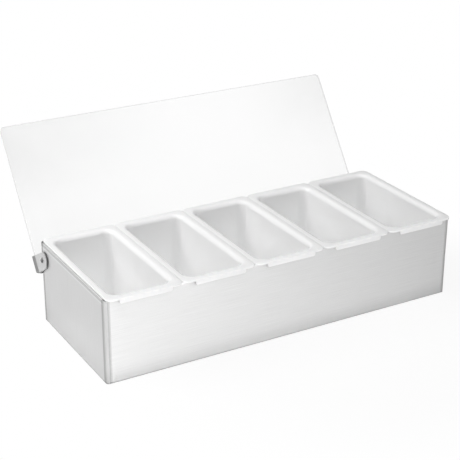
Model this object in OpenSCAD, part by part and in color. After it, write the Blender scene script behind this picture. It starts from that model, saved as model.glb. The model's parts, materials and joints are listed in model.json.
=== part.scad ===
// Condiment caddy: an open stainless box holding a row of lift-out plastic inserts, with one clear
// lid on a riveted hinge bracket. Millimetres, +Z up. The origin is the centre of the box's underside,
// +X runs along the row to the right and -Y is the front. The lid is drawn open.

/* [Box] */
// Outside length of the box
box_l = 384; // [300:1:480]
// Outside depth of the box, front to rear
box_d = 150; // [120:1:200]
// Outside height of the box
box_h = 84; // [78:1:120]
// Thickness of the box's steel sheet
sheet_t = 0.8; // [0.6:0.1:1.2]
// Outside radius of the upright corner bends
corner_r = 4.2; // [3:0.1:8]
// Outside radius of the long bends under the front and rear walls
bend_r = 1.6; // [1.4:0.1:3]
// Depth of the hems folded inside the top edges
hem_depth = 8; // [5:0.5:12]
// Width of the open slot inside the hems
hem_slack = 1.2; // [0.4:0.1:1.6]
// How far the upright corner bends stop below the hems' crests
corner_gap = 0.2; // [0.1:0.1:1]
// Width of the seams between the shell and each end panel
seam_w = 0.1; // [0.05:0.05:0.3]
// Width of the weld flange at the foot of each end panel
flange_w = 10; // [6:1:16]

/* [Inserts] */
// Number of inserts in the row
insert_count = 5; // [4:1:6]
// Free length that the row of rims leaves in the box
row_play = 1.2; // [0.6:0.1:3]
// How far the row is pushed to the right
row_shift = 0.9; // [0:0.1:1.1]
// Gap between neighbouring rims
rim_gap = 0.24; // [0.1:0.02:0.6]
// Thickness of the rim
rim_t = 1.6; // [1.2:0.1:2.4]
// Width of the rim beside the opening, down to the inner wall
rim_side_w = 8.8; // [7.5:0.1:11]
// Width of the rim in front of and behind the opening, down to the inner wall
rim_end_w = 10.2; // [8.5:0.1:12]
// Radius of the rim's outside corners
rim_r = 7; // [4:0.5:9]
// Overhang of the rim behind the rear wall
rim_overhang = 0.6; // [0:0.1:1.2]
// Chamfer that stiffens the corner between the rim and the wall below it
rim_root = 1; // [0.5:0.1:2]
// Radius that rounds the rim into the inner walls
lip_r = 4.5; // [3:0.1:6]
// Wall thickness of the insert
insert_wall = 1.8; // [1.2:0.1:2.4]
// Gap between the insert and the box's floor
insert_clear = 8.8; // [1:0.2:30]
// Slope of the insert's walls, in degrees
draft = 2.5; // [0.5:0.5:5]
// Radius of the inner upright corners
well_r = 9; // [5:0.5:14]
// Radius between the inner walls and the floor
floor_r = 5; // [3:0.5:8]
// Thickness of the front skirt
skirt_t = 1.8; // [1.2:0.1:2.4]
// Gap between the front wall and the skirt
skirt_gap = 1.2; // [0.6:0.1:2]
// How far the skirt hangs below the box's top edge
skirt_drop = 3.6; // [2:0.2:8]
// Distance from each end of the rim to the skirt
skirt_inset = 12; // [9:0.5:20]
// Radius of the skirt's lower corners
skirt_r = 2; // [1:0.25:2.5]

/* [Lid] */
// Gap between each end of the lid and the ear beside it
lid_end_gap = 2.05; // [0.5:0.05:8]
// How far the level lid's free edge stays behind the front of the skirts
lid_setback = 1.2; // [0:0.1:10]
// Thickness of the lid
lid_t = 3; // [2:0.1:5]
// Radius of the lid's free corners
lid_r = 4.5; // [2:0.5:15]
// Height of the level lid above the rims
lid_clear = 5.4; // [4:0.1:8]
// Tilt of the open lid past upright, in degrees
open_tilt = 35.4; // [30:0.2:40]

/* [Hinge bracket] */
// Thickness of the bracket's steel sheet
bracket_t = 1; // [0.8:0.1:1.2]
// Distance from the pivot line to the front edge of the top flange
flange_front = 10; // [8:0.1:16]
// Lean of the rear flange away from the rims, in degrees
flange_lean = 15; // [10:1:25]
// Gap between the rims and the rear flange, with the lid level
flange_gap = 1; // [0.9:0.1:2]
// Gap left between the rear flange and the rear wall when the lid is open
stop_gap = 0.05; // [0.02:0.01:0.5]
// Radius of the front corner at each ear's foot
ear_r = 7.4; // [6:0.1:9]
// Distance from the pivot line down to the centre of that corner
ear_drop = 5.5; // [3:0.1:7]
// Distance from the pivot line back to the centre of that corner
ear_back = 0.9; // [0:0.1:1.5]
// Radius of the rear corner at each ear's foot
heel_r = 3.4; // [2:0.1:4]
// Distance from the front corner's centre back to the rear corner's centre
heel_back = 5.7; // [5:0.1:7]
// How far the ears run on past the end of the rear flange
ear_over = 0.4; // [0.2:0.1:1]
// Outside radius of the bends between the ears and the rear flange
heel_bend_r = 1.6; // [1.2:0.1:2]
// Outside radius of the bends between the ears and the top flange
ear_bend_r = 3; // [2:0.1:5]
// Outside radius of the bend between the top and rear flanges
spine_bend_r = 2; // [1.5:0.1:3]
// Gap between the lid's rear edge and the start of that bend
lid_seat_gap = 0.4; // [0.1:0.1:1]

/* [Pivots] */
// Distance from the rear wall's outside to the pivot line
pivot_inset = 7; // [7:0.1:9]
// Distance from the box's top edge down to the pivot line
pivot_drop = 17; // [16:0.1:20]
// Diameter of the rivets' shanks
shank_d = 4; // [3:0.1:5]
// Diameter of the rivets' domed heads
head_d = 6; // [5.6:0.1:8]
// Height of the domed heads
head_h = 1.5; // [1:0.1:2]
// Diameter of the rivets' set ends inside the box
set_d = 5.6; // [5.2:0.1:5.6]
// Height of the set ends
set_h = 1.2; // [0.8:0.1:1.6]
// Outside diameter of the nylon washers
washer_d = 9; // [7:0.5:12]
// Thickness of the nylon washers between the box and the ears
washer_t = 1; // [0.8:0.1:1.5]
// Radial running gap round the shanks
run_gap = 0.05; // [0.02:0.01:0.1]
// Side gap on each face of the ears
side_gap = 0.05; // [0.03:0.01:0.2]

/* [Lid screws] */
// Number of screws along the bracket
screw_count = 4; // [2:1:6]
// Distance from the lid's ends to the outer screws
screw_inset = 31; // [20:1:60]
// Distance of the screws in front of the pivot line
screw_front = 3; // [1:0.5:5]
// Thread diameter of the screws
screw_d = 3; // [2.5:0.5:4]
// Diameter of the countersunk heads, flush with the lid's underside
screw_head_d = 5.6; // [5:0.1:6.5]
// Gap round the screws in their holes
screw_gap = 0.1; // [0.05:0.05:0.3]
// Width across the flats of the cap nuts
nut_af = 5.5; // [5:0.1:7]
// Height of the nuts' hexagons
nut_h = 2.4; // [1.8:0.1:3.2]
// Radius of the nuts' domes
nut_dome_r = 2.4; // [1.8:0.1:2.4]

/* [Hidden] */
insert_names = [for (i = [1:insert_count]) str("insert_", i)];

$fn = 64;
eps = 0.01;
cut = 1;                                   // how far a cutter runs past what it cuts
mould_fn = 6;                              // segments in each rounded corner of an insert

steel = [0.78, 0.79, 0.80];
bright_steel = [0.86, 0.87, 0.88];
white_plastic = [0.96, 0.96, 0.95];
nylon = [0.90, 0.90, 0.88];
clear_acrylic = [0.86, 0.90, 0.92, 0.35];

// Box
hem_t = 2 * sheet_t + hem_slack;
hem_r = hem_t / 2;
wall_x = box_l / 2;
wall_y = box_d / 2;
flat_x = wall_x - corner_r;                // where the upright bends start
flat_y = wall_y - corner_r;

// Row of inserts
row_l = box_l - row_play;
pitch = row_l / insert_count;
row_left = row_shift - row_l / 2;
rim_top = box_h + rim_t;
rim_front_y = -wall_y - skirt_gap - skirt_t;
rim_rear_y = wall_y + rim_overhang;
rim_half = (pitch - rim_gap) / 2;
edge_r = min(0.5, rim_t / 2 - 0.1);        // rounding of the rim's outer edge
well_half = pitch / 2 - rim_side_w;        // inner half width at the foot of the lip
well_front_y = rim_front_y + rim_end_w;
well_rear_y = rim_rear_y - rim_end_w;
insert_floor_z = sheet_t + insert_clear;

// Hinge, with the lid level: points are [distance behind the pivot line, height above it]
pivot_y = wall_y - pivot_inset;
pivot_z = box_h - pivot_drop;
open_turn = 90 + open_tilt;
rim_rise = pivot_drop + rim_t;
lid_rise = rim_rise + lid_clear;
lid_top = lid_rise + lid_t;
leg_top = lid_top + bracket_t;
ear_centre = [ear_back, -ear_drop];
flange_out = [cos(flange_lean), sin(flange_lean)];
flange_down = [sin(flange_lean), -cos(flange_lean)];
bend_a = leg_top - spine_bend_r + spine_bend_r * flange_out[1];    // foot of the bend, outside
bend_b = pivot_inset + rim_overhang + flange_gap + bracket_t / cos(flange_lean)
    - (bend_a - rim_rise) * tan(flange_lean);
spine = [bend_b, bend_a] - spine_bend_r * flange_out;              // centre of the bend
flange_len = (bend_a * cos(open_tilt) - bend_b * sin(open_tilt) - pivot_inset - stop_gap)
    / cos(open_tilt - flange_lean);
flange_end = [bend_b, bend_a] + flange_len * flange_down;
ear_low = -ear_drop - ear_r - cut;
ear_in_x = wall_x + washer_t + side_gap;
ear_out_x = ear_in_x + bracket_t;
head_x = ear_out_x + side_gap;
lid_half = ear_in_x - lid_end_gap;
lid_reach = pivot_y - rim_front_y - lid_setback;
screw_pitch = 2 * (lid_half - screw_inset) / (screw_count - 1);
screw_head_h = (screw_head_d - screw_d) / 2;

// ---------------------------------------------------------------- helpers

// Flat rectangle with round corners, exact arcs
module round_rect(x0, x1, y0, y1, r) {
    translate([x0 + r, y0]) square([x1 - x0 - 2 * r, y1 - y0]);
    translate([x0, y0 + r]) square([x1 - x0, y1 - y0 - 2 * r]);
    for (x = [x0 + r, x1 - r], y = [y0 + r, y1 - r])
        translate([x, y]) circle(r);
}

// Extrudes a YZ outline along X, from x0 to x1
module along_x(x0, x1) {
    translate([x0, 0, 0]) rotate([90, 0, 90]) linear_extrude(x1 - x0) children();
}

// A solid drawn for the right-hand end, or mirrored to the left
module at_end(side) {
    if (side < 0) mirror([1, 0, 0]) children();
    else children();
}

// Opens a solid that is drawn with the lid level and the pivot line on the X axis
module on_open_lid() {
    translate([0, pivot_y, pivot_z]) rotate([-open_turn, 0, 0]) children();
}

// ---------------------------------------------------------------- box

// Outline of a wall's hemmed top, with the wall's outside face at the given distance from the middle
module hem_outline(wall) {
    slot_r = hem_slack / 2;
    difference() {
        union() {
            translate([wall - hem_t, box_h - hem_depth]) square([hem_t, hem_depth - hem_r]);
            translate([wall - hem_r, box_h - hem_r]) circle(hem_r);
        }
        translate([wall - hem_r - slot_r, box_h - hem_depth - cut])
            square([hem_slack, hem_depth + cut - hem_r]);
        translate([wall - hem_r, box_h - hem_r]) circle(slot_r);
    }
}

// Block with round upright corners and round long edges below, everywhere inset by the same amount
module round_block(inset, top) {
    intersection() {
        linear_extrude(top)
            round_rect(-wall_x + inset, wall_x - inset, -wall_y + inset, wall_y - inset, corner_r - inset);
        along_x(-wall_x, wall_x) {
            round_rect(-wall_y + inset, wall_y - inset, inset, box_h, bend_r - inset);
            translate([-wall_y + inset, box_h / 2]) square([box_d - 2 * inset, box_h]);
        }
    }
}

// The whole box's sheet below its hems, with upright corner bends that rise between them
module sheet_box() {
    difference() {
        union() {
            round_block(0, box_h - hem_r);
            intersection() {
                round_block(0, box_h - corner_gap);
                for (x = [-wall_x - cut, flat_x], y = [-wall_y - cut, flat_y])
                    translate([x, y, box_h / 2]) cube([corner_r + cut, corner_r + cut, box_h]);
            }
        }
        round_block(sheet_t, box_h + cut);
    }
}

// What belongs to the right end panel, less a gap at its seams: it stops at the front corner's bend
// and turns the rear corner
module end_zone(gap) {
    translate([flat_x + gap, -flat_y + gap, sheet_t]) cube([corner_r + cut, box_d, box_h]);
}

// Front wall, floor and rear wall bent from one sheet
module body_shell() {
    color(steel) {
        difference() {
            sheet_box();
            for (side = [-1, 1])
                at_end(side) end_zone(0);
        }
        for (side = [0, 1])
            mirror([0, side, 0])
                along_x(-flat_x, flat_x) hem_outline(wall_y);
    }
}

// End panel with a hemmed top edge, a weld flange on the floor and the rivet's hole
module end_panel(side) {
    panel_l = 2 * flat_y - seam_w;
    color(steel)
        at_end(side)
            difference() {
                union() {
                    intersection() {
                        sheet_box();
                        end_zone(seam_w);
                    }
                    translate([0, flat_y, 0])
                        rotate([90, 0, 0]) linear_extrude(panel_l) hem_outline(wall_x);
                    translate([wall_x - flange_w, -flat_y + seam_w, sheet_t])
                        cube([flange_w - sheet_t / 2, panel_l, sheet_t]);
                }
                translate([wall_x - hem_t - cut, pivot_y, pivot_z])
                    rotate([0, 90, 0]) cylinder(h = hem_t + 2 * cut, d = shank_d);
            }
}

// ---------------------------------------------------------------- inserts

// Ring of points round a rectangle with round corners, at height z
function ring(half, y0, y1, r, z) = [
    for (q = [0:3], k = [0:mould_fn])
        let (
            a = 90 * (q + k / mould_fn),
            sx = (q == 0 || q == 3) ? 1 : -1,
            sy = q < 2 ? 1 : -1,
            cy = sy > 0 ? y1 - r : y0 + r
        )
        [sx * (half - r) + r * cos(a), cy + r * sin(a), z]
];

// Ring of the well at height z, grown outwards by g: g = 0 is the inner wall
function well_ring(z, g) =
    let (lean = (rim_top - lip_r - z) * tan(draft))
    ring(well_half - lean + g, well_front_y + lean - g, well_rear_y - lean + g, well_r + g, z);

// Ring of the rim, pulled in by g
function rim_ring(z, g) = ring(rim_half - g, rim_front_y + g, rim_rear_y - g, rim_r - g, z);

// Closed skin through rings of equal length, in order
module skin(rings) {
    n = len(rings[0]);
    last = (len(rings) - 1) * n;
    polyhedron(
        points = [for (r = rings) each r],
        faces = concat(
            [[for (i = [0:n - 1]) i]],
            [for (j = [0:len(rings) - 2], i = [0:n - 1])
                let (a = j * n + i, b = j * n + (i + 1) % n)
                each [[a, a + n, b + n], [a, b + n, b]]],
            [[for (i = [n - 1:-1:0]) last + i]]
        )
    );
}

// One moulded insert, centred on x = 0
module insert_shape() {
    out_r = floor_r + insert_wall;
    inner_z = insert_floor_z + insert_wall;
    quarter = [0, 30, 60, 90];
    outside = [
        for (a = quarter)
            well_ring(insert_floor_z + out_r * (1 - cos(a)), insert_wall - out_r * (1 - sin(a)))
    ];
    rim = [
        well_ring(box_h - rim_root, insert_wall),
        well_ring(box_h, insert_wall + rim_root),
        rim_ring(box_h, edge_r / 2),
        rim_ring(box_h + edge_r / 2, 0),
        rim_ring(rim_top - edge_r, 0),
        rim_ring(rim_top - edge_r * 0.3, edge_r * 0.3),
        rim_ring(rim_top, edge_r)
    ];
    lip = [
        for (a = [90:-18:0])
            well_ring(rim_top - lip_r + lip_r * sin(a), lip_r * (1 - cos(a)))
    ];
    inside = [
        for (a = [90:-30:0])
            well_ring(inner_z + floor_r * (1 - cos(a)), -floor_r * (1 - sin(a)))
    ];
    skin(concat(outside, rim, lip, inside));
    skirt_x = pitch / 2 - skirt_inset;
    skirt_z = box_h - skirt_drop;
    translate([0, rim_front_y + skirt_t, 0])
        rotate([90, 0, 0])
            linear_extrude(skirt_t) {
                round_rect(-skirt_x, skirt_x, skirt_z, box_h, skirt_r);
                translate([-skirt_x, box_h - skirt_r]) square([2 * skirt_x, skirt_r + rim_t - edge_r]);
            }
}

module insert(i) {
    color(white_plastic)
        translate([row_left + (i - 0.5) * pitch, 0, 0]) insert_shape();
}

// ---------------------------------------------------------------- lid and bracket

// Runs its children at each screw's place, at the lid's underside
module at_screws() {
    for (i = [0:screw_count - 1])
        translate([-lid_half + screw_inset + i * screw_pitch, -screw_front, lid_rise]) children();
}

module screw_shape(gap, top) {
    cylinder(h = top, d = screw_d + 2 * gap);
    cylinder(h = screw_head_h, d1 = screw_head_d + 2 * gap, d2 = screw_d + 2 * gap);
}

module lid_panel() {
    color(clear_acrylic)
        on_open_lid()
            difference() {
                translate([0, 0, lid_rise])
                    linear_extrude(lid_t) {
                        round_rect(-lid_half, lid_half, -lid_reach, 0, lid_r);
                        translate([-lid_half, -lid_reach / 2])
                            square([2 * lid_half, lid_reach / 2 + spine[0] - lid_seat_gap]);
                    }
                at_screws() translate([0, 0, -eps]) screw_shape(screw_gap, lid_t + 2 * eps);
            }
}

// Point of a circle where a tangent from point p touches it, on the side given by the sign
function touch(centre, r, p, side) =
    let (d = p - centre, a = atan2(d[1], d[0]) + side * acos(r / norm(d)))
    on_circle(centre, r, a);

// Point at angle a, just inside the circle so that outlines cross it cleanly
function on_circle(centre, r, a) = centre + (r - eps) * [cos(a), sin(a)];

// Side view of the ears and flanges together, as [distance behind the pivot line, height]
module side_outline() {
    heel = ear_centre + [heel_back, 0];
    heel_top = flange_end + ear_over * flange_down;
    front_top = [-flange_front, leg_top];
    foot_a = -acos((ear_r - heel_r) / heel_back);
    translate(ear_centre) circle(ear_r);
    translate(heel) circle(heel_r);
    translate(spine) circle(spine_bend_r);
    polygon([
        on_circle(heel, heel_r, foot_a),
        touch(heel, heel_r, heel_top, -1),
        heel_top,
        spine + spine_bend_r * flange_out,
        spine,
        [spine[0], leg_top],
        front_top,
        touch(ear_centre, ear_r, front_top, 1),
        on_circle(ear_centre, ear_r, foot_a)
    ]);
}

// Side view of the space between the ears: under the top flange and inside the rear flange
module inside_outline() {
    bend_in_r = spine_bend_r - bracket_t;
    translate(spine) circle(bend_in_r);
    polygon([
        [-2 * flange_front, ear_low],
        [2 * flange_end[0], ear_low],
        flange_end + cut * flange_out,
        flange_end - bracket_t * flange_out,
        spine + bend_in_r * flange_out,
        spine,
        [spine[0], lid_top],
        [-2 * flange_front, lid_top]
    ]);
}

// Rounds the corners between the ears and the rear flange: a block whose rear face lies just outside
// the flange's, leaning as it does
module heel_block() {
    half = ear_out_x + eps;
    rear = (spine + spine_bend_r * flange_out) * flange_out + eps;
    rotate([flange_lean, 0, 0])
        translate([0, 0, -2 * leg_top])
            linear_extrude(4 * leg_top) round_rect(-half, half, -4 * flange_front, rear, heel_bend_r);
}

// Block between two planes x = -half and x = half, its top edges rounded
module arched_block(half, top, r) {
    translate([0, 2 * flange_end[0], 0])
        rotate([90, 0, 0])
            linear_extrude(4 * flange_end[0]) round_rect(-half, half, 2 * ear_low, top, r);
}

module hinge_bracket() {
    color(bright_steel)
        on_open_lid()
            difference() {
                intersection() {
                    along_x(-ear_out_x, ear_out_x) side_outline();
                    arched_block(ear_out_x, leg_top, ear_bend_r);
                    heel_block();
                }
                intersection() {
                    along_x(-ear_out_x, ear_out_x) inside_outline();
                    arched_block(ear_in_x, lid_top, ear_bend_r - bracket_t);
                }
                for (side = [-1, 1])
                    at_end(side)
                        translate([ear_in_x - cut, 0, 0])
                            rotate([0, 90, 0]) cylinder(h = bracket_t + 2 * cut, r = shank_d / 2 + run_gap);
                at_screws() cylinder(h = lid_t + bracket_t + cut, d = screw_d + 2 * screw_gap);
            }
}

module lid_screws() {
    color(bright_steel)
        on_open_lid() at_screws() screw_shape(0, lid_t + bracket_t + nut_h);
}

module lid_nuts() {
    color(bright_steel)
        on_open_lid()
            at_screws()
                translate([0, 0, lid_t + bracket_t])
                    difference() {
                        union() {
                            cylinder(h = nut_h, d = nut_af / cos(30), $fn = 6);
                            translate([0, 0, nut_h]) sphere(nut_dome_r);
                        }
                        translate([0, 0, -nut_dome_r]) cylinder(h = nut_dome_r + nut_h, d = screw_d);
                    }
}

// ---------------------------------------------------------------- pivots

// Turns a solid drawn along +Z to run outwards along the pivot line, from x
module on_pivot(side, x) {
    at_end(side) translate([x, pivot_y, pivot_z]) rotate([0, 90, 0]) children();
}

// Ball cap of the given foot diameter and height
module dome(d, h) {
    ball_r = (d * d / 4 + h * h) / (2 * h);
    intersection() {
        translate([0, 0, h - ball_r]) sphere(ball_r);
        cylinder(h = h, d = d);
    }
}

// Shank through the panel, washer and ear, with a domed head outside and a set end inside
module pivot_rivet(side) {
    grip_x = wall_x - sheet_t;
    grip = head_x - grip_x;
    color(bright_steel)
        on_pivot(side, grip_x) {
            cylinder(h = grip + eps, d = shank_d);
            translate([0, 0, -set_h]) cylinder(h = set_h, d = set_d);
            translate([0, 0, grip]) dome(head_d, head_h);
        }
}

module pivot_washer(side) {
    color(nylon)
        on_pivot(side, wall_x)
            difference() {
                cylinder(h = washer_t, d = washer_d);
                translate([0, 0, -cut]) cylinder(h = washer_t + 2 * cut, r = shank_d / 2 + run_gap);
            }
}

// ---------------------------------------------------------------- assembly

body_shell();
end_panel(-1);  // left_end_panel
end_panel(1);  // right_end_panel
for (i = [1:insert_count])
    insert(i);
lid_panel();
hinge_bracket();
lid_screws();
lid_nuts();
pivot_rivet(-1);  // left_pivot_rivet
pivot_rivet(1);  // right_pivot_rivet
pivot_washer(-1);  // left_pivot_washer
pivot_washer(1);  // right_pivot_washer
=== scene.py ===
# %% [markdown]
# # A condiment caddy with a clear hinged lid
# The real object is a folded stainless box. Five white plastic inserts hang in it by their rims,
# and one flat sheet of clear acrylic closes over them on a riveted steel bracket. The frame brings
# every piece in at its true size and place. What is left to do here is the part a ruler can't
# hold: rounded mouldings, softened metal edges, brushed grain, clear plastic and light.

# %% Load the frame
import json
import math

import bmesh
import bpy
from mathutils import Matrix, Vector


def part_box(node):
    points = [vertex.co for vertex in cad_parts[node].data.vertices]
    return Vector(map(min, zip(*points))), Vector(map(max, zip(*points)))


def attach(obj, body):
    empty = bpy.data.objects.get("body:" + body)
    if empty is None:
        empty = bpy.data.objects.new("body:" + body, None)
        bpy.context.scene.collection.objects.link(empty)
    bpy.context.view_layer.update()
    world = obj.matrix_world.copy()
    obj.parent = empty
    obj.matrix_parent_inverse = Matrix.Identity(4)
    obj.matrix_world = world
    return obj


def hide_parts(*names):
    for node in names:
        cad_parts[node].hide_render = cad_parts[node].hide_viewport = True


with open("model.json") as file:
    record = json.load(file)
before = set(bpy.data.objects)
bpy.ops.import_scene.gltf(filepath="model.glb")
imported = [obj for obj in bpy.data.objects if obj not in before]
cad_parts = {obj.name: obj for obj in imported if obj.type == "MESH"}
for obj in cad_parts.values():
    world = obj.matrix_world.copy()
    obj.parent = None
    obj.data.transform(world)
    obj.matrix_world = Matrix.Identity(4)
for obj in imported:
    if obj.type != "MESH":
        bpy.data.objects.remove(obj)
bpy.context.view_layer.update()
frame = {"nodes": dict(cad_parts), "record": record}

MM = 0.001
INSERTS = [name for name in sorted(frame["nodes"]) if name.startswith("insert_")]

# %% [markdown]
# ## The camera comes first
# A long lens from the front left, a little above the box, shows its front, its left end and the
# insides of the inserts together. The camera is turned by three plain angles: round the box, down
# on to it, and a trace of roll. A long lens far away keeps the box's edges close to parallel.

# %% Place the camera
CAMERA_PLACE = Vector((-590.2, -991.4, 591.0)) * MM
CAMERA_ROUND = math.radians(-29.81)
CAMERA_DOWN = math.radians(23.76)
CAMERA_ROLL = math.radians(0.19)
CAMERA_LENS = 99.3
SENSOR_WIDTH = 36.0
NEAREST_SEEN = 0.05

bpy.ops.object.camera_add()
camera = bpy.context.object
camera.name = "camera"
camera.data.lens = CAMERA_LENS
camera.data.sensor_width = SENSOR_WIDTH
camera.data.clip_start = NEAREST_SEEN
turn = Matrix.Rotation(CAMERA_ROUND, 4, "Z") @ Matrix.Rotation(math.pi / 2 - CAMERA_DOWN, 4, "X")
roll = Matrix.Rotation(CAMERA_ROLL, 4, "Z")
camera.matrix_world = Matrix.Translation(CAMERA_PLACE) @ turn @ roll
bpy.context.scene.camera = camera
print("camera:", round(CAMERA_PLACE.length, 3), "m from the middle of the box's foot")

# %% [markdown]
# ## Small helpers for modelling by operator
# Operators act on whatever is selected, so each step starts from a clean selection. Faces and
# edges are then picked by a test on their place, as a modeller would pick them by eye.

# %% Selection helpers
# Two places nearer than CLOSE count as one. A face looks along an axis when its normal goes more
# than FACING along it.
CLOSE = 0.01 * MM
FACING = 0.9


def clear_selection():
    """Leaves edit mode and deselects every object."""
    if bpy.context.object and bpy.context.object.mode != "OBJECT":
        bpy.ops.object.mode_set(mode="OBJECT")
    bpy.ops.object.select_all(action="DESELECT")


def work_on(piece):
    """Makes one object the only selected and the active one."""
    clear_selection()
    piece.select_set(True)
    bpy.context.view_layer.objects.active = piece


def edit(piece):
    """Opens a piece in edit mode with nothing selected."""
    work_on(piece)
    bpy.ops.object.mode_set(mode="EDIT")
    bpy.ops.mesh.select_mode(type="FACE")
    bpy.ops.mesh.select_all(action="DESELECT")


def pick(piece, kind, test):
    """Selects, in edit mode, only the vertices, edges or faces that pass a test."""
    bpy.ops.mesh.select_mode(type=kind)
    bpy.ops.mesh.select_all(action="DESELECT")
    mesh = bmesh.from_edit_mesh(piece.data)
    for part in {"VERT": mesh.verts, "EDGE": mesh.edges, "FACE": mesh.faces}[kind]:
        if test(part):
            part.select_set(True)
    mesh.select_flush_mode()
    bmesh.update_edit_mesh(piece.data)


def middle(part):
    """Middle of an edge or a face."""
    return sum((v.co for v in part.verts), Vector()) / len(part.verts)


# %% Shaping helpers


def extrude(by):
    """Extrudes the selected edges or faces and moves the new ones."""
    bpy.ops.mesh.extrude_region_move(TRANSFORM_OT_translate={"value": by})


def quarter_turn(steps):
    """Each step along a quarter of a circle, as its first and last angle."""
    return [(math.pi / 2 * step / steps, math.pi / 2 * (step + 1) / steps)
            for step in range(steps)]


def apply_modifier(piece, kind, **settings):
    """Adds a modifier, sets it and applies it."""
    work_on(piece)
    modifier = piece.modifiers.new(kind.lower(), kind)
    for name, value in settings.items():
        setattr(modifier, name, value)
    bpy.ops.object.modifier_apply(modifier=modifier.name)


def smooth(piece, degrees):
    """Shades smooth across edges flatter than an angle."""
    work_on(piece)
    bpy.ops.object.shade_smooth_by_angle(angle=math.radians(degrees))


def break_edges(piece, width, sharper_than, smoother_than, **settings):
    """Narrow bevel along edges sharper than one angle, then smooth shading below another."""
    apply_modifier(piece, "BEVEL", width=width, segments=2, limit_method="ANGLE",
                   angle_limit=math.radians(sharper_than), **settings)
    smooth(piece, smoother_than)


# %% [markdown]
# ## Rounded rectangles
# The rim of an insert and its mouth are both rectangles with round corners. A plane is scaled to
# size and its four corner points are bevelled, which gives true arcs with as many segments as
# wanted.

# %% A rounded rectangle, in edit mode


def add_rounded_plane(low, high, z, radius, segments):
    """Adds, to the mesh in edit mode, a flat face between two corners, with round corners."""
    centre = Vector(((low[0] + high[0]) / 2, (low[1] + high[1]) / 2, z))
    bpy.ops.mesh.select_all(action="DESELECT")
    bpy.ops.mesh.primitive_plane_add(size=1.0, location=centre)
    bpy.ops.transform.resize(value=(high[0] - low[0], high[1] - low[1], 1.0),
                             center_override=centre)
    bpy.ops.mesh.bevel(offset=radius, segments=segments, affect="VERTICES")


# %% [markdown]
# ## One insert, modelled as the moulder sees it
# An insert is one thin skin of plastic: floor, leaning walls, a generous lip rolled over into the
# rim, and a short skirt that hooks over the front wall of the box. It is modelled as a single
# surface, from the rim inwards. Each inset with a depth makes the next ring of the lip or of the
# floor's fillet, so the round corners stay concentric. Solidify then gives the skin its thickness.

# %% Sizes of an insert
# The inserts stand side by side at an even pitch, and RIM_GAP is left on each side of a rim.
# RIM_SIDE is the width of the rim with that gap, and RIM_END its width at the front and rear.
RIM_CORNER = 7.0 * MM
LIP_RADIUS = 4.5 * MM
LIP_CORNER = 13.5 * MM
RIM_SIDE = 8.8 * MM
RIM_END = 10.2 * MM
RIM_EDGE = 1.6 * MM
RIM_ROUNDING = 0.3 * MM
RIM_GAP = 0.12 * MM
WALL_LEAN = math.radians(2.5)
FLOOR_RADIUS = 7.6 * MM
FLOOR_ABOVE_FOOT = 1.8 * MM
SKIN = 1.5 * MM

insert_low, insert_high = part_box(INSERTS[0])
insert_half = (insert_high.x - insert_low.x) / 2
rim_top = insert_high.z
floor_top = insert_low.z + FLOOR_ABOVE_FOOT
print("insert:", round(insert_half * 2 / MM, 1), "mm wide and",
      round((rim_top - insert_low.z) / MM, 1), "mm deep")

# %% Flat rim, with the mouth open in it
CORNER_SEGMENTS = 10

clear_selection()
bpy.ops.mesh.primitive_plane_add(size=1.0)
insert = bpy.context.object
insert.name = "insert_moulding"
edit(insert)
bpy.ops.mesh.select_all(action="SELECT")
bpy.ops.mesh.delete(type="VERT")

rim_low = (-insert_half, insert_low.y)
rim_high = (insert_half, insert_high.y)
side = insert_half + RIM_GAP - RIM_SIDE + LIP_RADIUS
mouth_low = (-side, rim_low[1] + RIM_END - LIP_RADIUS)
mouth_high = (side, rim_high[1] - RIM_END + LIP_RADIUS)
add_rounded_plane(rim_low, rim_high, rim_top - RIM_EDGE, RIM_CORNER, CORNER_SEGMENTS)
bpy.ops.mesh.delete(type="ONLY_FACE")
add_rounded_plane(mouth_low, mouth_high, rim_top, LIP_CORNER, CORNER_SEGMENTS)

# The bridge tells which way two loops run by how they lie to each other, so the outline of the
# rim starts low and is raised level with the mouth once they are joined.
pick(insert, "EDGE", lambda edge: True)
bpy.ops.mesh.bridge_edge_loops()
pick(insert, "VERT", lambda vertex: vertex.co.z < rim_top - RIM_EDGE / 2)
bpy.ops.transform.translate(value=(0, 0, RIM_EDGE))
rim_faces = bmesh.from_edit_mesh(insert.data).faces
print("rim:", sum(face.normal.z < 0 for face in rim_faces), "faces look down")

# %% [markdown]
# ## Lip, walls and floor
# A mould is never sharp inside, or the plastic would stick and crack. So the rim rolls over into
# the wall on a lip, the wall leans a little for release, and a wide fillet turns it into the
# floor. Both curves are quarter circles made of short insets, and the wall between them is one
# straight draw. It is drawn in by scale, so that its corners keep nearly their full roundness.

# %% One inset after another
LIP_STEPS = 7
FLOOR_STEPS = 7
MANY_SIDES = 8


def inside_mouth(face):
    """The flat face in the middle, which the next inset shapes: no other has so many sides."""
    return len(face.verts) > MANY_SIDES


def ring(inwards, downwards):
    """The next ring of the skin, further in and further down."""
    bpy.ops.mesh.inset(thickness=inwards, depth=-downwards, use_even_offset=True)


pick(insert, "FACE", inside_mouth)
for was, now in quarter_turn(LIP_STEPS):
    ring(LIP_RADIUS * (math.sin(now) - math.sin(was)),
         LIP_RADIUS * (math.cos(was) - math.cos(now)))

wall_drop = rim_top - LIP_RADIUS - floor_top - FLOOR_RADIUS
wall_lean = wall_drop * math.tan(WALL_LEAN)
half_wide = side - LIP_RADIUS
half_long = (mouth_high[1] - mouth_low[1]) / 2 - LIP_RADIUS
well_middle = Vector((0, (mouth_high[1] + mouth_low[1]) / 2, 0))
extrude((0, 0, -wall_drop))
bpy.ops.transform.resize(value=(1 - wall_lean / half_wide, 1 - wall_lean / half_long, 1),
                         center_override=well_middle)

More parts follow.
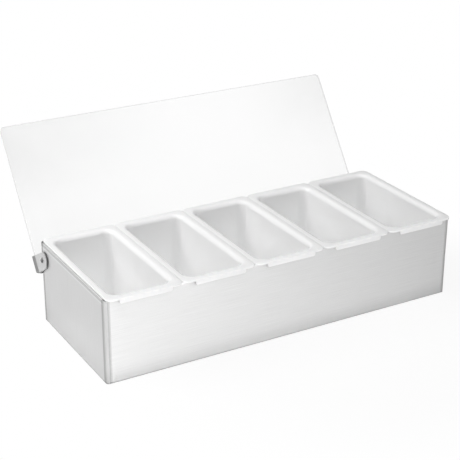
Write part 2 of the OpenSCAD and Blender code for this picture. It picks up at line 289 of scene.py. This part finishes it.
for was, now in quarter_turn(FLOOR_STEPS):
    ring(FLOOR_RADIUS * (math.cos(was) - math.cos(now)),
         FLOOR_RADIUS * (math.sin(now) - math.sin(was)))
print("insert skin:", len(bmesh.from_edit_mesh(insert.data).faces), "faces down to the floor")

# %% Outer edge of the rim


def on_outline(edge):
    """An edge where the rim's flat top turns into its upright outer side."""
    x, y, z = middle(edge)
    beyond_mouth = abs(x) > side or not mouth_low[1] < y < mouth_high[1]
    flat = any(face.normal.z > FACING for face in edge.link_faces)
    upright = any(abs(face.normal.z) < 1 - FACING for face in edge.link_faces)
    return beyond_mouth and flat and upright and abs(z - rim_top) < CLOSE


pick(insert, "EDGE", lambda edge: edge.is_boundary)
extrude((0, 0, -RIM_EDGE))
pick(insert, "EDGE", on_outline)
bpy.ops.mesh.bevel(offset=RIM_ROUNDING, segments=4, affect="EDGES")
print("insert with rim:", len(bmesh.from_edit_mesh(insert.data).faces), "faces")

# %% [markdown]
# ## The skirt
# The skirt is narrower than the rim. The front strip of the rim's edge is cut at the skirt's two
# ends, and the edge between them is drawn down. Its lower corners are rounded by narrowing the
# last few steps.

# %% Skirt
SKIRT_INSET = 12.0 * MM
SKIRT_DROP = 3.6 * MM
SKIRT_CORNER = 2.0 * MM
SKIRT_STEPS = 5
skirt_half = insert_half + RIM_GAP - SKIRT_INSET
front_y = insert_low.y


def at_front(part):
    """Whether an edge or a face lies in the plane of the rim's front side."""
    return abs(middle(part).y - front_y) < CLOSE


for cut_x in (-skirt_half, skirt_half):
    pick(insert, "FACE", lambda face: at_front(face) and abs(face.normal.y) > FACING)
    bpy.ops.mesh.bisect(plane_co=(cut_x, 0, 0), plane_no=(1, 0, 0))
pick(insert, "EDGE", lambda edge: edge.is_boundary and at_front(edge)
     and abs(middle(edge).x) < skirt_half - CLOSE)
extrude((0, 0, -(SKIRT_DROP - SKIRT_CORNER)))
half_now = skirt_half
for was, now in quarter_turn(SKIRT_STEPS):
    extrude((0, 0, -SKIRT_CORNER * (math.sin(now) - math.sin(was))))
    half_next = skirt_half - SKIRT_CORNER * (1 - math.cos(now))
    bpy.ops.transform.resize(value=(half_next / half_now, 1, 1), center_override=(0, 0, 0))
    half_now = half_next
bpy.ops.object.mode_set(mode="OBJECT")
print("insert with skirt:", len(insert.data.polygons), "faces")

# %% [markdown]
# ## Five inserts from one
# All five come out of the same mould, so the skin is thickened and finished once. Each copy has a
# mesh of its own, moved to its place along the box, because each insert lifts out by itself.

# %% Thickness, and one copy in each place
apply_modifier(insert, "SOLIDIFY", thickness=SKIN, offset=-1.0, use_even_offset=True)
break_edges(insert, 0.25 * MM, sharper_than=60, smoother_than=40)

insert_pieces = []
for name in INSERTS:
    low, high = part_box(name)
    piece = insert.copy()
    piece.data = insert.data.copy()
    piece.name = name + "_moulding"
    bpy.context.collection.objects.link(piece)
    piece.data.transform(Matrix.Translation(((low.x + high.x) / 2, 0, 0)))
    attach(piece, name)
    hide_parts(name)
    insert_pieces.append(piece)
bpy.data.objects.remove(insert)
print("inserts:", len(insert_pieces), "copies of", len(insert_pieces[0].data.polygons), "faces")

# %% [markdown]
# ## Softened edges on the lid and all that it carries
# No cut edge is perfectly sharp: the bracket is tumbled after stamping, the nuts' corners are
# turned off, and the acrylic has polished, slightly broken edges. A copy of each part is welded
# together and its sharp edges get a narrow bevel, which catches a thin line of light. The true
# holes and bends stay as they are.

# %% Bevelled copies
# A copy takes over the tags of the node it is made from, so they are dropped.
WELD = 0.001 * MM
SAME_PLANE = math.radians(0.5)


def softened(node, width, sharper_than):
    """Welded copy of a CAD node, with a narrow bevel along edges sharper than an angle."""
    piece = frame["nodes"][node].copy()
    piece.data = frame["nodes"][node].data.copy()
    piece.name = node + "_finished"
    for key in list(piece.keys()):
        del piece[key]
    bpy.context.collection.objects.link(piece)
    edit(piece)
    bpy.ops.mesh.select_all(action="SELECT")
    bpy.ops.mesh.remove_doubles(threshold=WELD)
    bpy.ops.mesh.customdata_custom_splitnormals_clear()
    bpy.ops.mesh.dissolve_limited(angle_limit=SAME_PLANE)
    bpy.ops.object.mode_set(mode="OBJECT")
    break_edges(piece, width, sharper_than, smoother_than=30, use_clamp_overlap=True)
    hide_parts(node)
    print(piece.name, len(piece.data.polygons), "faces")
    return piece


lid = softened("lid_panel", 0.3 * MM, sharper_than=50)
bracket = softened("hinge_bracket", 0.2 * MM, sharper_than=50)
nuts = softened("lid_nuts", 0.25 * MM, sharper_than=40)
screws = softened("lid_screws", 0.12 * MM, sharper_than=40)

# %% [markdown]
# ## A driver's cross in each screw
# The four countersunk heads show through the clear lid, so each gets its cross. A small square is
# drawn out along its four edges, and the whole cross is pushed down and drawn in, like the punch
# that forms a real one. A copy stands on each head, and one Boolean cuts them all.

# %% The cross
CROSS_WIDTH = 0.85 * MM
CROSS_REACH = 1.6 * MM
CROSS_DEPTH = 1.0 * MM
CROSS_PROUD = 0.2 * MM
CROSS_TAPER = 0.45

clear_selection()
bpy.ops.mesh.primitive_plane_add(size=CROSS_WIDTH)
cross = bpy.context.object
edit(cross)
for arm in (Vector((1, 0, 0)), Vector((-1, 0, 0)), Vector((0, 1, 0)), Vector((0, -1, 0))):
    pick(cross, "EDGE", lambda edge: (middle(edge) - arm * CROSS_WIDTH / 2).length < CLOSE)
    extrude(arm * (CROSS_REACH - CROSS_WIDTH / 2))
bpy.ops.mesh.select_all(action="SELECT")
bpy.ops.transform.translate(value=(0, 0, CROSS_PROUD))
extrude((0, 0, -CROSS_DEPTH - CROSS_PROUD))
bpy.ops.transform.resize(value=(CROSS_TAPER, CROSS_TAPER, 1), center_override=(0, 0, 0))
bpy.ops.mesh.select_all(action="SELECT")
bpy.ops.mesh.normals_make_consistent(inside=False)
bpy.ops.object.mode_set(mode="OBJECT")
print("cross:", len(cross.data.polygons), "faces")

# %% One cross cut into each head
# The open lid is turned up by LID_OPEN from lying flat. The heads look against its normal.
LID_OPEN = math.radians(125.4)
HEAD_AREA = 10 * MM * MM
sheet_normal = Vector((0, math.sin(LID_OPEN), math.cos(LID_OPEN)))

onto_head = Vector((0, 0, 1)).rotation_difference(-sheet_normal).to_matrix().to_4x4()
heads = [face.center.copy() for face in screws.data.polygons
         if face.normal.dot(-sheet_normal) > FACING and face.area > HEAD_AREA]
clear_selection()
for head in heads:
    stamp = cross.copy()
    stamp.data = cross.data.copy()
    bpy.context.collection.objects.link(stamp)
    stamp.data.transform(Matrix.Translation(head) @ onto_head)
    stamp.select_set(True)
    bpy.context.view_layer.objects.active = stamp
bpy.ops.object.join()
crosses = bpy.context.object
apply_modifier(screws, "BOOLEAN", operation="DIFFERENCE", object=crosses)
bpy.data.objects.remove(crosses)
bpy.data.objects.remove(cross)
smooth(screws, 30)
print("screws:", len(heads), "heads with a cross")

# %% Everything on the lid moves with it
LID_PIECES = ((lid, "lid_acrylic"), (bracket, "bracket_steel"),
              (nuts, "bright_steel"), (screws, "bright_steel"))
for piece, slot in LID_PIECES:
    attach(piece, "lid")
print("on the lid:", len(LID_PIECES), "pieces")

# %% [markdown]
# ## Materials
# Every finish is built from nodes on Object coordinates, so a grain keeps its true size and runs
# the right way on each part. The helpers below keep the node code short: they add a node with its
# values and links, and turn a distance into a soft mask or a noise into a grain.

# %% Node helpers


def feed(tree, socket, value):
    """Links a socket into an input, or sets the input's own value."""
    if isinstance(value, bpy.types.NodeSocket):
        tree.links.new(value, socket)
    else:
        socket.default_value = value


def feed_all(tree, node, values):
    """Feeds a node's inputs by name."""
    for name, value in values.items():
        feed(tree, node.inputs[name], value)


def add(tree, kind, inputs=(), **settings):
    """New node. Inputs are fed in order; settings are its properties, or inputs by name."""
    node = tree.nodes.new(kind)
    for name, value in settings.items():
        if name in node.inputs:
            feed(tree, node.inputs[name], value)
        else:
            setattr(node, name, value)
    for socket, value in zip(node.inputs, inputs):
        feed(tree, socket, value)
    return node


def new_material(name):
    """Node material with one Principled shader joined to its output."""
    material = bpy.data.materials.new(name)
    material.use_nodes = True
    tree = material.node_tree
    tree.nodes.clear()
    output = tree.nodes.new("ShaderNodeOutputMaterial")
    shader = tree.nodes.new("ShaderNodeBsdfPrincipled")
    feed(tree, output.inputs["Surface"], shader.outputs["BSDF"])
    return material, tree, shader


# %% Masks, mixes and grains


def maths(tree, operation, *values):
    """Result of a Math node on sockets or numbers."""
    return add(tree, "ShaderNodeMath", values, operation=operation).outputs[0]


def product(tree, first, *others):
    """Product of several masks."""
    for other in others:
        first = maths(tree, "MULTIPLY", first, other)
    return first


def soft_step(tree, value, start, end, low=0.0, high=1.0):
    """Smooth change from low to high while a value goes from start to end."""
    node = add(tree, "ShaderNodeMapRange", (value, start, end, low, high),
               interpolation_type="SMOOTHSTEP")
    return node.outputs[0]


def mixed(tree, kind, factor, first, second):
    """Goes from a first number or colour to a second as a factor goes from 0 to 1."""
    node = add(tree, "ShaderNodeMix", data_type=kind, Factor=factor, A=first, B=second)
    return node.outputs["Result"]


def place(tree):
    """Place of a point on the piece, in metres: as one vector, and as X, Y and Z."""
    spot = add(tree, "ShaderNodeTexCoord").outputs["Object"]
    return spot, add(tree, "ShaderNodeSeparateXYZ", (spot,)).outputs


def grain(tree, spot, scale, detail):
    """Noise between 0 and 1, stretched by a different scale along each axis."""
    stretched = add(tree, "ShaderNodeMapping", (spot,), Scale=scale).outputs[0]
    noise = add(tree, "ShaderNodeTexNoise", (stretched,), Scale=1.0, Detail=detail, Roughness=0.6)
    return noise.outputs[0]


def relief(tree, height, strength, distance):
    """Normal of a surface that rises and falls with a height between 0 and 1."""
    bump = add(tree, "ShaderNodeBump", Strength=strength, Distance=distance, Height=height)
    return bump.outputs["Normal"]


def grey(value):
    """Neutral colour."""
    return (value, value, value, 1.0)


# %% [markdown]
# ## Brushed stainless
# Sheet like this is drawn under an abrasive belt, which leaves thousands of fine scratches all one
# way. Light spreads across the scratches and stays narrow along them, so the shader is
# anisotropic, with a tangent that points across the scratches. A mask multiplies the colour by
# place, which paints shade on each bend and beside each seam, and painted highlight lines beside
# some bends.

# %% Brushed steel shader
GRAIN_DARK = 0.91
GRAIN_LIGHT = 1.06
FINE_SHARE = 0.9
BROAD_TIMES = 12
ROUGH_VARIES = 0.15
ANISOTROPY = 0.8
NOISE_DETAIL = 3.0
NOISE_LOW, NOISE_HIGH = 0.3, 0.7
SCRATCH_DEPTH = 0.02 * MM


def brushed_steel(name, across, scale, bright, rough, painted_light_at=None):
    """Stainless with a fine grain. Light spreads along the vector across the scratches, and
    painted_light_at gives a multiplier for each place: painted shade and painted highlights."""
    material, tree, shader = new_material(name)
    spot, (x, y, z) = place(tree)
    broad_scale = [s / BROAD_TIMES for s in scale]
    fine = soft_step(tree, grain(tree, spot, scale, NOISE_DETAIL), NOISE_LOW, NOISE_HIGH)
    broad = soft_step(tree, grain(tree, spot, broad_scale, NOISE_DETAIL), NOISE_LOW, NOISE_HIGH)
    scratches = maths(tree, "MULTIPLY_ADD", fine, FINE_SHARE,
                      maths(tree, "MULTIPLY", broad, 1 - FINE_SHARE))
    colour = mixed(tree, "RGBA", scratches, grey(bright * GRAIN_DARK), grey(bright * GRAIN_LIGHT))
    # Painted shade and painted highlights are multiplied into the colour here.
    if painted_light_at is not None:
        scaled = add(tree, "ShaderNodeVectorMath", (colour,), operation="SCALE",
                     Scale=painted_light_at(tree, x, y, z))
        colour = scaled.outputs[0]
    tangent = add(tree, "ShaderNodeVectorTransform", (across,), vector_type="VECTOR",
                  convert_from="OBJECT", convert_to="WORLD").outputs[0]
    feed_all(tree, shader, {
        "Base Color": colour,
        "Metallic": 1.0,
        "Roughness": soft_step(tree, fine, 0.0, 1.0,
                               rough * (1 - ROUGH_VARIES), rough * (1 + ROUGH_VARIES)),
        "Anisotropic": ANISOTROPY,
        "Tangent": tangent,
        "Normal": relief(tree, fine, strength=0.12, distance=SCRATCH_DEPTH),
    })
    return material


# %% [markdown]
# ## Painted shade and highlights on the folded sheets
# The box's front, floor and rear are one sheet, and each end is another. Each upright corner bend
# gets painted shade with a painted highlight line outside it, and the end panel a dark seam with
# painted shade on the bend beside it. The hem gets painted shade, darker than the wall, with a
# painted highlight line below it. The foot gets painted shade too. Each is a band at a measured
# distance from an end, a side or the top, so that it follows the box if the box's sizes change.

# %% Where each sheet is folded
half_length, half_depth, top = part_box("body_shell")[1]
print("folded box:", round(half_length * 2 / MM), "mm wide and", round(half_depth * 2 / MM), "deep")


def band(tree, value, start, end, soft, inside):
    """Multiplier that is 1 outside a band and another value inside it, with soft sides."""
    rise = soft_step(tree, value, start - soft, start + soft)
    fall = soft_step(tree, value, end - soft, end + soft, low=1.0, high=0.0)
    return maths(tree, "MULTIPLY_ADD", product(tree, rise, fall), inside - 1.0, 1.0)


def distance_in(tree, limit, value):
    """How far inside a limit a place lies, the same at both ends."""
    return maths(tree, "SUBTRACT", limit, maths(tree, "ABSOLUTE", value))


def shell_seam_and_painted_light(tree, x, y, z):
    """Painted shade on the upright corner bends, with a painted highlight line outside each; a dark
    seam with painted shade on the bend beside it; painted shade towards the foot and along the
    bottom fold.
    """
    from_end = distance_in(tree, half_length, x)
    from_side = distance_in(tree, half_depth, y)
    # Painted shade on each upright corner bend, and a painted highlight line just outside it.
    corner = band(tree, from_end, 2.6 * MM, 5.2 * MM, soft=0.3 * MM, inside=0.82)
    corner_line = band(tree, from_end, 1.2 * MM, 2.6 * MM, soft=0.3 * MM, inside=1.2)
    # A dark seam with painted shade on the bend beside it, only where the sheet meets the end
    # panel.
    seam = band(tree, from_side, 2.4 * MM, 9 * MM, soft=0.4 * MM, inside=0.7)
    off_end = soft_step(tree, from_end, 0.7 * MM, 1.1 * MM)
    # Painted shade towards the foot, and a darker painted line along the bottom fold.
    foot = soft_step(tree, z, 0, 20 * MM, low=0.84)
    fold = soft_step(tree, z, 0.6 * MM, 2.0 * MM, low=0.7)
    return product(tree, corner, corner_line, maths(tree, "MAXIMUM", seam, off_end), foot, fold)


def end_seam_and_painted_light(tree, x, y, z):
    """Painted shade on the hem's crest and face with a painted highlight line below it, a dark seam
    with painted shade on the bend beside it, and painted shade towards the bottom.
    """
    from_side = distance_in(tree, half_depth, y)
    from_top = maths(tree, "SUBTRACT", top, z)
    # Painted shade on the hem's crest and face, and a painted highlight line below the hem.
    crest = band(tree, from_top, -1 * MM, 0.9 * MM, soft=0.4 * MM, inside=0.75)
    hem = band(tree, from_top, 0.9 * MM, 2.9 * MM, soft=0.4 * MM, inside=0.82)
    hem_line = band(tree, from_top, 3.6 * MM, 4.8 * MM, soft=0.4 * MM, inside=1.15)
    # A dark seam with painted shade on the bend beside it, and painted shade towards the bottom.
    seam = band(tree, from_side, 2 * MM, 6.9 * MM, soft=0.4 * MM, inside=0.62)
    foot = soft_step(tree, z, 0, 30 * MM, low=0.93)
    return product(tree, crest, hem, hem_line, seam, foot)


LENGTHWISE = (25, 6000, 6000)
UPRIGHT = (6000, 6000, 25)
shell_steel = brushed_steel("stainless_brushed_lengthwise", across=(0, 0, 1), scale=LENGTHWISE,
                            bright=0.70, rough=0.42, painted_light_at=shell_seam_and_painted_light)
end_steel = brushed_steel("stainless_brushed_end", across=(0, 1, 0), scale=UPRIGHT,
                          bright=0.68, rough=0.42, painted_light_at=end_seam_and_painted_light)

# %% [markdown]
# ## Bracket, rivets and bright fasteners
# The bracket is stamped from satin sheet, and each ear gets painted shade where it turns into a
# flange. Its sheared edges are rougher than its faces, and their much darker colour is painted
# shade. A rivet's dome is formed by a spinning tool, so it has no grain that runs one way; its
# front half gets painted shade and its rear half a painted highlight. The nuts and screws are
# polished.

# %% Bracket and fasteners
joints = frame["record"]["behaviour"]["joints"]
pivot = Vector(next(joint["pos_m"] for joint in joints if joint["name"] == "lid_hinge"))
REAR_SLANT = 0.092
print("lid's pivot:", [round(at / MM) for at in pivot], "mm")


def ear_painted_shade(tree, x, y, z):
    """Painted shade, darkest where an ear turns into the top flange and, on its other side, the
    rear flange.
    """
    dy = maths(tree, "SUBTRACT", y, pivot.y)
    dz = maths(tree, "SUBTRACT", z, pivot.z)
    height = maths(tree, "MULTIPLY_ADD", dz, sheet_normal.z,
                   maths(tree, "MULTIPLY", dy, sheet_normal.y))
    behind = maths(tree, "MULTIPLY_ADD", dz, -sheet_normal.y,
                   maths(tree, "MULTIPLY", dy, sheet_normal.z))
    slanted = maths(tree, "MULTIPLY_ADD", height, REAR_SLANT, behind)
    # Painted shade where the ear turns into each flange.
    top_turn = soft_step(tree, height, 15 * MM, 18 * MM, low=1.0, high=0.35)
    rear_turn = soft_step(tree, slanted, 9.6 * MM, 10.8 * MM, low=1.0, high=0.3)
    return maths(tree, "MINIMUM", top_turn, rear_turn)


def rivet_painted_light(tree, x, y, z):
    """Painted shade on the front half of a dome and a painted highlight on its rear half."""
    behind = maths(tree, "SUBTRACT", y, pivot.y)
    # Painted shade on the front half, painted highlight on the rear half.
    return soft_step(tree, behind, -1.0 * MM, 0.1 * MM, low=0.25, high=1.3)


SATIN = (60, 2500, 2500)
SHEARED = (1200, 1200, 1200)
TURNED = (900, 900, 900)
bracket_steel = brushed_steel("stainless_satin_bracket", across=(0, 0, 1), scale=SATIN,
                              bright=0.60, rough=0.34, painted_light_at=ear_painted_shade)
# The sheared edge is rougher; its much darker colour is painted shade.
cut_steel = brushed_steel("stainless_sheared_edge", across=(0, 0, 1), scale=SHEARED,
                          bright=0.34, rough=0.5)
rivet_steel = brushed_steel("stainless_rivet", across=(0, 0, 1), scale=TURNED,
                            bright=0.72, rough=0.4, painted_light_at=rivet_painted_light)
bright_steel = brushed_steel("stainless_polished", across=(0, 0, 1), scale=TURNED,
                             bright=0.72, rough=0.14)

# %% [markdown]
# ## White moulded plastic
# The inserts are thick white plastic with an even sheen. A little light soaks in and comes out
# nearby, which softens the shading inside the wells, so the shader has some subsurface scattering.

# %% Plastics
SOAK_DEPTH = 3 * MM
RIPPLE_DEPTH = 0.03 * MM


def moulded_plastic(name, colour, rough, soak):
    """Plastic with the faint ripple and even sheen that a polished mould leaves."""
    material, tree, shader = new_material(name)
    spot, _ = place(tree)
    ripple = grain(tree, spot, (700, 700, 700), 3.0)
    cloud = grain(tree, spot, (30, 30, 30), 2.0)
    darker = [c * 0.985 for c in colour]
    feed_all(tree, shader, {
        "Base Color": mixed(tree, "RGBA", cloud, (*darker, 1), (*colour, 1)),
        "Roughness": soft_step(tree, ripple, 0.2, 0.8, rough * 0.9, rough * 1.1),
        "Normal": relief(tree, ripple, strength=0.08, distance=RIPPLE_DEPTH),
        "Subsurface Weight": soak,
        "Subsurface Radius": (1.0, 1.0, 1.0),
        "Subsurface Scale": SOAK_DEPTH,
    })
    return material


white_plastic = moulded_plastic("plastic_moulded_white", (0.95, 0.95, 0.95), rough=0.24, soak=0.3)
nylon = moulded_plastic("nylon_natural", (0.78, 0.78, 0.74), rough=0.5, soak=0.2)
print("plastics:", white_plastic.name, "and", nylon.name)

# %% [markdown]
# ## Clear acrylic
# A clear sheet shows best where it is cut: its faces almost vanish, while its edges gather light
# and read as thin grey lines. The faces and the edges therefore get a finish each, both partly
# see-through. That keeps the sheet's shadow light and its outline clean. Besides a faint random
# haze, the faces get painted shade, a grey that gathers towards the sheet's two ends and its upper
# part.

# %% Acrylic
LID_SHADE_MIDDLE = 0.04
LID_SHADE_STARTS, LID_SHADE_FULL = 0.02, 0.24
LID_SHADE_LOW, LID_SHADE_HIGH = 0.09, 0.155
LID_SHADE_LEAST = 0.25
ACRYLIC_IOR = 1.49


def clear_acrylic(name, value, clearest, shaded_most, rough):
    """See-through plastic with a smooth surface, a faint random haze, and painted shade between two
    strengths that gathers towards the ends and the top.
    """
    material, tree, shader = new_material(name)
    spot, (x, _, z) = place(tree)
    cloud = grain(tree, spot, (6, 6, 6), 2.0)
    tinted = (value * 0.97, value * 0.985, value * 0.98, 1)
    # Painted shade: the sheet greys towards its two ends and its upper part.
    to_end = maths(tree, "ABSOLUTE", maths(tree, "SUBTRACT", x, LID_SHADE_MIDDLE))
    ends = soft_step(tree, to_end, LID_SHADE_STARTS, LID_SHADE_FULL, high=shaded_most - clearest)
    painted_lid_shade = product(tree, ends, soft_step(tree, z, LID_SHADE_LOW, LID_SHADE_HIGH, low=LID_SHADE_LEAST))
    haze_and_shade = maths(tree, "MULTIPLY_ADD", cloud, 0.02, maths(tree, "ADD", painted_lid_shade, clearest))
    feed_all(tree, shader, {
        "Base Color": mixed(tree, "RGBA", cloud, tinted, grey(value)),
        "Roughness": soft_step(tree, cloud, 0.2, 0.8, rough * 0.8, rough * 1.2),
        "IOR": ACRYLIC_IOR,
        "Alpha": haze_and_shade,
    })
    return material


acrylic = clear_acrylic("acrylic_clear_face", 0.62, clearest=0.02, shaded_most=0.19, rough=0.04)
acrylic_edge = clear_acrylic("acrylic_clear_edge", 0.45, clearest=0.30, shaded_most=0.30, rough=0.12)
print("acrylic:", acrylic.name, "and", acrylic_edge.name)

# %% [markdown]
# ## Give each piece its finish
# Most pieces have one finish all over. The bracket and the lid have two: their faces are sorted by
# the way they look, so that a sheared or cut edge gets a finish apart from the flat sheet.

# %% Finishes
FINISHES = {
    "body_shell": shell_steel,
    "left_end_panel": end_steel,
    "right_end_panel": end_steel,
    "left_pivot_rivet": rivet_steel,
    "right_pivot_rivet": rivet_steel,
    "left_pivot_washer": nylon,
    "right_pivot_washer": nylon,
}
EAR_FACE = 0.5


def finish_with(piece, *materials):
    """Gives a piece its materials; its faces take the first."""
    piece.data.materials.clear()
    for material in materials:
        piece.data.materials.append(material)


for node, material in FINISHES.items():
    finish_with(frame["nodes"][node], material)
for piece in insert_pieces:
    finish_with(piece, white_plastic)
for piece in (nuts, screws):
    finish_with(piece, bright_steel)

finish_with(bracket, bracket_steel, cut_steel)
for face in bracket.data.polygons:
    on_ear = abs(face.center.x) > half_length
    face.material_index = 1 if on_ear and abs(face.normal.x) < EAR_FACE else 0
print("sheared faces:", sum(face.material_index for face in bracket.data.polygons))

finish_with(lid, acrylic, acrylic_edge)
for face in lid.data.polygons:
    face.material_index = 0 if abs(face.normal.dot(sheet_normal)) > FACING else 1
print("lid edge faces:", sum(face.material_index for face in lid.data.polygons))

# %% [markdown]
# ## Floor
# The object stands on a plain white floor. The floor mixes a light of its own with ordinary
# shading, so that it reads as white while it keeps a soft shadow. Further out its own light takes
# over. Rays that pass through the lid see it the same way. Rays that bounce off the steel or the
# plastic see hardly more than its ordinary shading.

# %% White floor
FLOOR_SIZE = 12.0
FLOOR_GREY = 0.9
SHADE_MIDDLE = (0.08, -0.08, 0)
SHADE_NEAR, SHADE_FAR = 0.15, 0.3
OWN_LIGHT = 0.86
OWN_LIGHT_IN_STEEL = 0.05

clear_selection()
bpy.ops.mesh.primitive_plane_add(size=FLOOR_SIZE)
floor = bpy.context.object
floor.name = "floor"

floor_white, tree, shader = new_material("floor_white")
feed_all(tree, shader, {
    "Base Color": grey(FLOOR_GREY),
    "Roughness": 0.9,
    "Specular IOR Level": 0.1,
})
spot, _ = place(tree)
distance = add(tree, "ShaderNodeVectorMath", (spot, SHADE_MIDDLE), operation="DISTANCE")
share = soft_step(tree, distance.outputs["Value"], SHADE_NEAR, SHADE_FAR, low=OWN_LIGHT)
ray = add(tree, "ShaderNodeLightPath").outputs
direct = maths(tree, "MAXIMUM", ray["Is Camera Ray"], ray["Is Transmission Ray"])
seen = maths(tree, "MULTIPLY_ADD", ray["Is Glossy Ray"], OWN_LIGHT_IN_STEEL,
             product(tree, direct, share))
glow = add(tree, "ShaderNodeEmission", Strength=1.0)
mix = add(tree, "ShaderNodeMixShader", (seen, shader.outputs[0], glow.outputs[0]))
output = next(node for node in tree.nodes if node.type == "OUTPUT_MATERIAL")
feed(tree, output.inputs["Surface"], mix.outputs[0])
finish_with(floor, floor_white)
print("floor:", FLOOR_SIZE, "m square")

# %% [markdown]
# ## The room around it
# White objects are lit mostly from above, so that light falls into the wells. The world is
# brightest overhead and dim at the horizon, for all but the camera, which sees it white. Steel
# needs something darker to reflect, or it looks like paper: in reflections the world is bright at
# the horizon and at the ceiling, with a dim belt between them, dimmer in front and dimmest at the
# right. One bright panel at the front right runs a gradient along the brushed front wall.

# %% World
OVERHEAD = Vector((-0.1, -0.4, 1.0)).normalized()
ROOM_LIGHT, CEILING_LIGHT = 0.2, 4.9
BELT_LEVEL = 0.45
CEILING_IN_STEEL = 0.65
RIGHT_LEVEL = 0.12
FRONT_DIMMED_BY = 0.45
PANEL_GAIN = 6.1

world = bpy.data.worlds.new("studio")
bpy.context.scene.world = world
world.use_nodes = True
tree = world.node_tree
ray = add(tree, "ShaderNodeLightPath").outputs
towards = add(tree, "ShaderNodeTexCoord").outputs["Generated"]
east, north, up = add(tree, "ShaderNodeSeparateXYZ", (towards,)).outputs

overhead = add(tree, "ShaderNodeVectorMath", (towards, OVERHEAD), operation="DOT_PRODUCT")
ceiling = soft_step(tree, overhead.outputs["Value"], 0.9, 0.995, ROOM_LIGHT, CEILING_LIGHT)

# East, north and up go from -1 to 1, so a step from 0.2 to 0.42 in up is one from 12 to 25 degrees
# above the horizon.
belt_low = soft_step(tree, up, 0.2, 0.42, low=1.0, high=BELT_LEVEL)
belt_high = soft_step(tree, up, 0.6, 0.85, high=CEILING_IN_STEEL)
dim_right = soft_step(tree, east, 0.38, 0.68, low=1.0, high=RIGHT_LEVEL)
in_front = soft_step(tree, north, -0.35, 0.0, low=1.0, high=0.0)
panel = product(tree, soft_step(tree, east, 0.07, 0.29),
                soft_step(tree, east, 0.36, 0.565, low=PANEL_GAIN, high=0.0))
gain = maths(tree, "MULTIPLY_ADD", in_front, maths(tree, "ADD", panel, -FRONT_DIMMED_BY), 1.0)
reflected = product(tree, maths(tree, "MULTIPLY_ADD", belt_low, gain, belt_high), dim_right)

lit = mixed(tree, "FLOAT", ray["Is Glossy Ray"], ceiling, reflected)
direct = maths(tree, "MAXIMUM", ray["Is Camera Ray"], ray["Is Transmission Ray"])
feed_all(tree, tree.nodes["Background"], {
    "Color": grey(1.0),
    "Strength": mixed(tree, "FLOAT", direct, lit, 1.0),
})
print("world:", len(tree.nodes), "nodes")

# %% [markdown]
# ## Softboxes
# A square softbox high at the left, a little behind the object, shapes the wells: it leaves their
# rear and left walls in soft shade. A long card stands low in front, below the rims, so that it
# lights the skirts and not the wells, and the steel doesn't show it. A small card, seen only in
# reflections, lights the front wall's left corner.

# %% Lamps


def softbox(name, spot, target, width, height, power):
    """Rectangular lamp that points at a target."""
    bpy.ops.object.light_add(type="AREA", location=spot)
    lamp = bpy.context.object
    lamp.name = name
    lamp.data.shape = "RECTANGLE"
    lamp.data.size = width
    lamp.data.size_y = height
    lamp.data.energy = power
    aim = Vector(target) - Vector(spot)
    lamp.rotation_euler = aim.to_track_quat("-Z", "Y").to_euler()
    return lamp


softbox("left_softbox", spot=(-0.9, 0.35, 0.9), target=(0, 0, 0.05),
        width=0.75, height=0.75, power=8.5)
low_card = softbox("low_card", spot=(-0.45, -0.8, 0.05), target=(-0.1, -0.08, 0.07),
                   width=0.8, height=0.1, power=2.6)
low_card.visible_glossy = False
corner_card = softbox("corner_card", spot=(-0.43, -0.9, 0.67), target=(0, 0, 0.05),
                      width=0.3, height=0.3, power=1.2)
corner_card.visible_diffuse = False

bpy.context.scene.view_settings.view_transform = "Standard"
